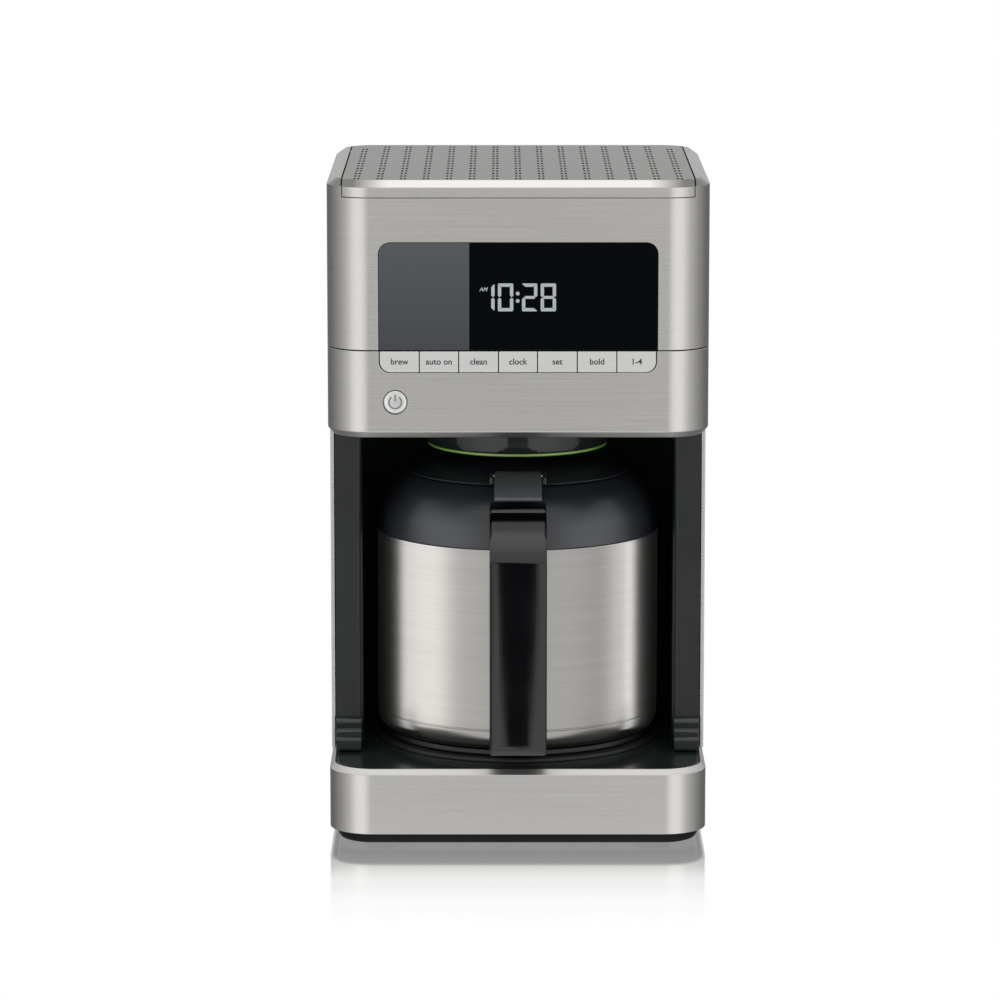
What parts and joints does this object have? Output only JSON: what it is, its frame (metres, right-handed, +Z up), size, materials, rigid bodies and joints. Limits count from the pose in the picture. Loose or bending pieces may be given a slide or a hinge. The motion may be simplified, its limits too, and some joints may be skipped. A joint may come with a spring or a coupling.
{
  "type": "drip coffee maker",
  "caption": "Programmable drip coffee maker with brushed steel housing, hinged top lid, display with key row and a thermal carafe in a niche.",
  "frame": {"origin": "on the ground under the feet, in the middle of the machine's width and of its depth with the carafe handle in place", "axes": "+Z up, -Y is the front with the display and the carafe handle, +X to the right as seen from the front"},
  "size_m": [0.2, 0.22, 0.3553],
  "materials": {
    "brushed_steel": "brushed satin",
    "steel_key": "satin",
    "polished_steel": "polished",
    "gloss_black": "gloss",
    "matte_black": "matte",
    "shoulder_black": "satin",
    "lever_grey": "matte",
    "window_black": "high gloss",
    "ring_green": "satin",
    "rubber": "matte",
    "tank_clear": "clear",
    "silicone": "matte",
    "board_green": "satin",
    "aluminium": "cast",
    "white_plastic": "matte"
  },
  "bodies": {
    "machine": {"base_band": "brushed_steel", "tower_wrap": "brushed_steel", "lower_housing": "brushed_steel", "upper_housing": "brushed_steel", "hinge_pin_left": "polished_steel", "hinge_pin_right": "polished_steel", "valve_spring": "polished_steel", "deck": "gloss_black", "niche_wall": "gloss_black", "pillar_left": "gloss_black", "pillar_right": "gloss_black", "filter_basket": "gloss_black", "base_plinth": "matte_black", "carafe_rest": "matte_black", "housing_floor": "matte_black", "display_module": "matte_black", "key_guide": "matte_black", "power_switch": "matte_black", "shower_head": "matte_black", "valve_cage": "matte_black", "display_window": "window_black", "basket_ring": "ring_green", "foot_front_left": "rubber", "foot_front_right": "rubber", "foot_rear_left": "rubber", "foot_rear_right": "rubber", "cord_gland": "rubber", "water_tank": "tank_clear", "riser_tube": "silicone", "inlet_hose": "silicone", "control_board": "board_green", "power_board": "board_green", "boiler": "aluminium", "thermostat": "white_plastic"},
    "top_lid": {"lid": "brushed_steel"},
    "key_brew": {"key_brew": "steel_key"},
    "key_auto_on": {"key_auto_on": "steel_key"},
    "key_clean": {"key_clean": "steel_key"},
    "key_clock": {"key_clock": "steel_key"},
    "key_set": {"key_set": "steel_key"},
    "key_bold": {"key_bold": "steel_key"},
    "key_small_batch": {"key_small_batch": "steel_key"},
    "power_button": {"power_button": "polished_steel"},
    "drip_valve": {"drip_valve": "matte_black"},
    "carafe": {"carafe_shell": "brushed_steel", "carafe_shell_floor": "brushed_steel", "carafe_liner_wall": "brushed_steel", "carafe_liner_floor": "brushed_steel", "carafe_liner_neck": "brushed_steel", "carafe_base": "matte_black", "carafe_collar": "shoulder_black", "handle": "gloss_black", "handle_screw": "polished_steel"},
    "carafe_lid": {"carafe_lid": "shoulder_black", "lid_seal": "silicone", "lever_pin": "polished_steel"},
    "thumb_lever": {"thumb_lever": "lever_grey"}
  },
  "joints": [
    {"name": "lid_hinge", "type": "hinge", "parent": "machine", "child": "top_lid", "pos_m": [0, 0.09, 0.3523], "axis": [-1, 0, 0], "range_deg": [0, 95]},
    {"name": "key_brew_press", "type": "slide", "parent": "machine", "child": "key_brew", "axis": [0, 1, 0], "range_m": [0, 0.001], "stiffness_N_per_m": 400, "springref_m": -0.001},
    {"name": "key_auto_on_press", "type": "slide", "parent": "machine", "child": "key_auto_on", "axis": [0, 1, 0], "range_m": [0, 0.001], "stiffness_N_per_m": 400, "springref_m": -0.001},
    {"name": "key_clean_press", "type": "slide", "parent": "machine", "child": "key_clean", "axis": [0, 1, 0], "range_m": [0, 0.001], "stiffness_N_per_m": 400, "springref_m": -0.001},
    {"name": "key_clock_press", "type": "slide", "parent": "machine", "child": "key_clock", "axis": [0, 1, 0], "range_m": [0, 0.001], "stiffness_N_per_m": 400, "springref_m": -0.001},
    {"name": "key_set_press", "type": "slide", "parent": "machine", "child": "key_set", "axis": [0, 1, 0], "range_m": [0, 0.001], "stiffness_N_per_m": 400, "springref_m": -0.001},
    {"name": "key_bold_press", "type": "slide", "parent": "machine", "child": "key_bold", "axis": [0, 1, 0], "range_m": [0, 0.001], "stiffness_N_per_m": 400, "springref_m": -0.001},
    {"name": "key_small_batch_press", "type": "slide", "parent": "machine", "child": "key_small_batch", "axis": [0, 1, 0], "range_m": [0, 0.001], "stiffness_N_per_m": 400, "springref_m": -0.001},
    {"name": "power_button_press", "type": "slide", "parent": "machine", "child": "power_button", "axis": [0, 1, 0], "range_m": [0, 0.001], "stiffness_N_per_m": 400, "springref_m": -0.001},
    {"name": "drip_valve_lift", "type": "slide", "parent": "machine", "child": "drip_valve", "axis": [0, 0, 1], "range_m": [0, 0.003], "stiffness_N_per_m": 150, "springref_m": -0.003, "deforming": ["valve_spring"]},
    {"name": "carafe_withdraw", "type": "slide", "parent": "machine", "child": "carafe", "axis": [0, -1, 0], "range_m": [0, 0.21]},
    {"name": "carafe_lid_turn", "type": "hinge", "parent": "carafe", "child": "carafe_lid", "pos_m": [0, 0.004, 0.19], "axis": [0, 0, 1], "range_deg": [0, 45]},
    {"name": "thumb_lever_press", "type": "hinge", "parent": "carafe_lid", "child": "thumb_lever", "pos_m": [0, -0.052, 0.1942], "axis": [1, 0, 0], "range_deg": [0, 5], "stiffness_Nm_per_rad": 0.05, "springref_deg": -11.46}
  ]
}
